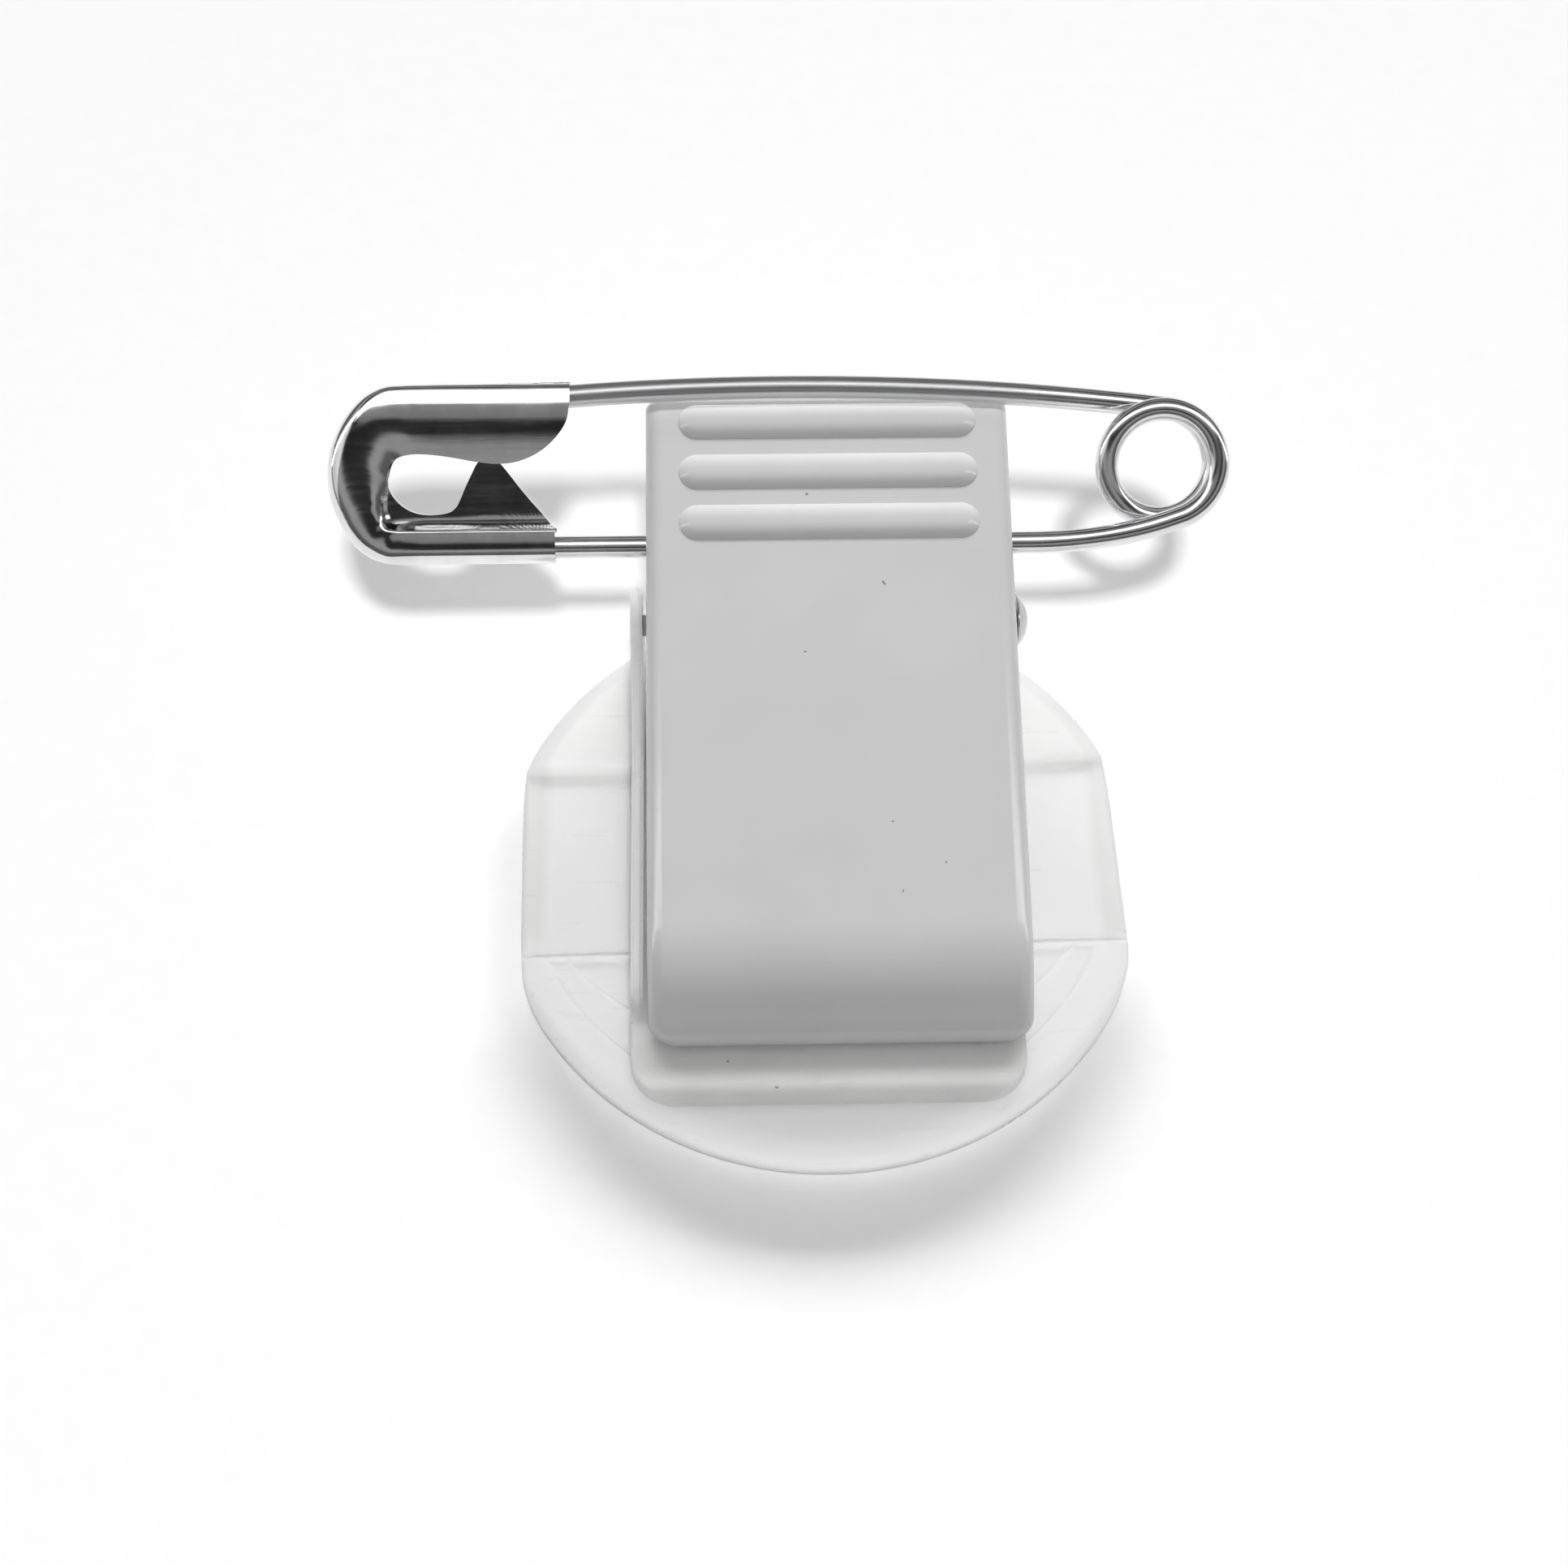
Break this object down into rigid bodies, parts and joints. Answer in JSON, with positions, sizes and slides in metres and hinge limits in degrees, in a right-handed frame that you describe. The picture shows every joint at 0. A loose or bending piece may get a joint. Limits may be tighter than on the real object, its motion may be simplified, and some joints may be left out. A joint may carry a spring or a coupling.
{
  "type": "swivel clip pin",
  "caption": "Lever clip with a curved nose and ribbed thumb end that turns on a round plastic base disc, with a coiled safety pin hinged through the lever's rear.",
  "frame": {"origin": "middle of the base disc's flat underside, on the swivel axis", "axes": "+X along the pin from its head to its coil, +Y from the nose towards the pin, +Z away from the disc's underside"},
  "size_m": [0.0378, 0.0311, 0.0128],
  "materials": {
    "clear_plastic": "translucent milky white, glossy moulded surface",
    "grey_plastic": "light grey, glossy, with rounded edges",
    "rivet_steel": "bright domed rivet head",
    "spring_steel": "drawn spring wire",
    "nickel_plate": "bright nickel plate with faint drawing lines"
  },
  "bodies": {
    "base": {"base_plate": "clear_plastic"},
    "clip": {"back_jaw": "clear_plastic", "axle_rivet": "rivet_steel", "clip_spring": "spring_steel"},
    "thumb_lever": {"lever": "grey_plastic"},
    "pin": {"pin_wire": "nickel_plate", "pin_head": "nickel_plate"}
  },
  "joints": [
    {"name": "swivel", "type": "hinge", "parent": "base", "child": "clip", "pos_m": [0, 0, 0], "axis": [0, 0, 1], "continuous": true},
    {"name": "lever_hinge", "type": "hinge", "parent": "clip", "child": "thumb_lever", "pos_m": [0.0005, 0.00885, 0.006], "axis": [-1, 0, 0], "range_deg": [0, 25], "stiffness_Nm_per_rad": 0.002, "springref_deg": -22.92, "deforming": ["clip_spring"]},
    {"name": "pin_swing", "type": "hinge", "parent": "thumb_lever", "child": "pin", "pos_m": [0.0005, 0.0119, 0.00745], "axis": [1, 0, 0], "range_deg": [0, 125]}
  ]
}
